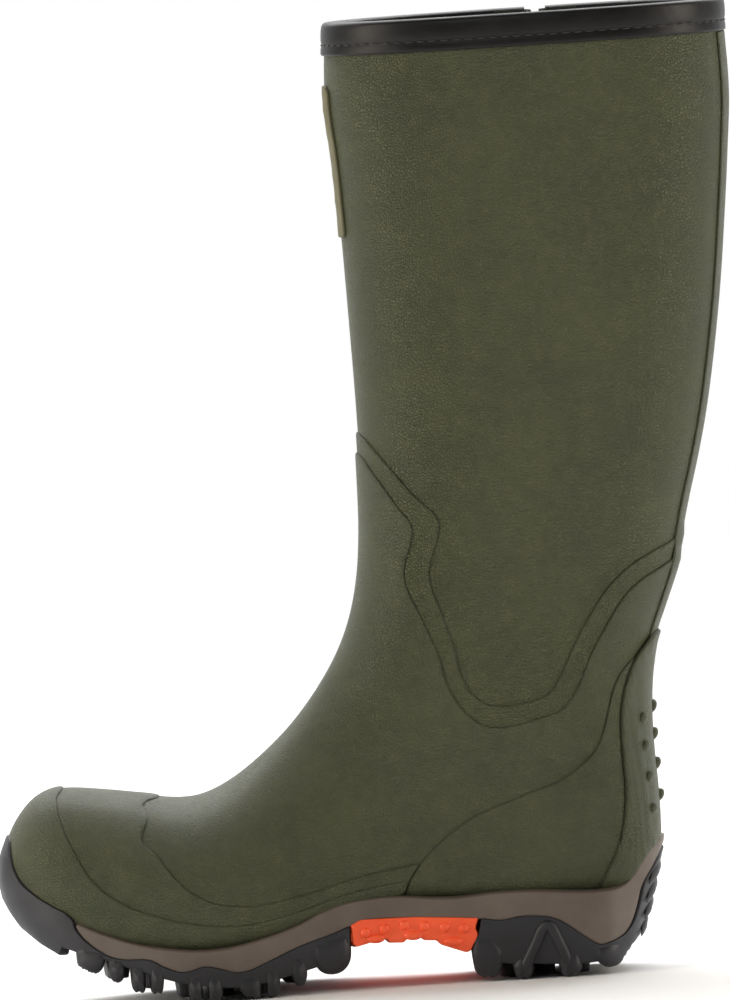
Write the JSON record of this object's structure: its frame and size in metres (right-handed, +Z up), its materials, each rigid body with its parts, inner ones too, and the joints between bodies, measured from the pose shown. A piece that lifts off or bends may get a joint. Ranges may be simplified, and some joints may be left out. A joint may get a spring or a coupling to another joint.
{
  "type": "insulated rubber hunting boot",
  "caption": "Knee-high insulated rubber boot for the right foot, with layered ankle, toe and heel guards, bound rim, side gusset with strap, two-part lug tread and an arch plate.",
  "frame": {"origin": "on the floor under the centre of the boot's bounding box", "axes": "+Z up the shaft, -X towards the toe, -Y towards the inner side of the foot"},
  "size_m": [0.359, 0.1168, 0.443],
  "materials": {
    "green_rubber": "dark olive natural rubber, fine wrinkled grain, satin",
    "olive_rubber": "olive moulded rubber, matt",
    "black_binding": "black coated trim, fine grain, satin",
    "black_rubber": "black moulded rubber, matt",
    "taupe_rubber": "taupe rubber foxing, fine texture, matt",
    "orange_rubber": "orange moulded rubber, satin",
    "neoprene": "charcoal neoprene foam with knit faces",
    "lining_knit": "dark green brushed polyester knit",
    "gusset_cloth": "dark green coated woven cloth",
    "felt": "grey pressed felt and foam",
    "fibre_board": "tan pressed fibre board",
    "spring_steel": "tempered spring steel strip",
    "gunmetal": "dark plated steel, satin",
    "black_thread": "black bonded polyester thread"
  },
  "bodies": {
    "boot": {"rubber_shell": "green_rubber", "ankle_layer": "green_rubber", "vamp_layer": "green_rubber", "toe_guard": "green_rubber", "toe_cap": "green_rubber", "heel_panel": "green_rubber", "heel_kick_guard": "green_rubber", "back_strip": "green_rubber", "front_badge": "olive_rubber", "toe_puff": "felt", "heel_counter": "felt", "insole_board": "fibre_board", "insulation_sleeve": "neoprene", "lining": "lining_knit", "steel_shank": "spring_steel", "midsole": "taupe_rubber", "forefoot_outsole": "black_rubber", "heel_outsole": "black_rubber", "arch_plate": "orange_rubber", "footbed_foam": "felt", "footbed_cover": "lining_knit", "rim_binding": "black_binding", "binding_stitch": "black_thread", "gusset_cloth": "gusset_cloth", "buckle_tab": "green_rubber", "gusset_strap": "green_rubber", "strap_keeper": "green_rubber"},
    "buckle_frame": {"buckle_frame": "gunmetal"},
    "buckle_prong": {"buckle_prong": "gunmetal"}
  },
  "joints": [
    {"name": "frame_hinge", "type": "hinge", "parent": "boot", "child": "buckle_frame", "pos_m": [0.06642, 0.05216, 0.401], "axis": [0, 0, 1], "range_deg": [0, 60]},
    {"name": "prong_hinge", "type": "hinge", "parent": "buckle_frame", "child": "buckle_prong", "pos_m": [0.06642, 0.05216, 0.401], "axis": [0, 0, 1], "range_deg": [0, 70]}
  ]
}
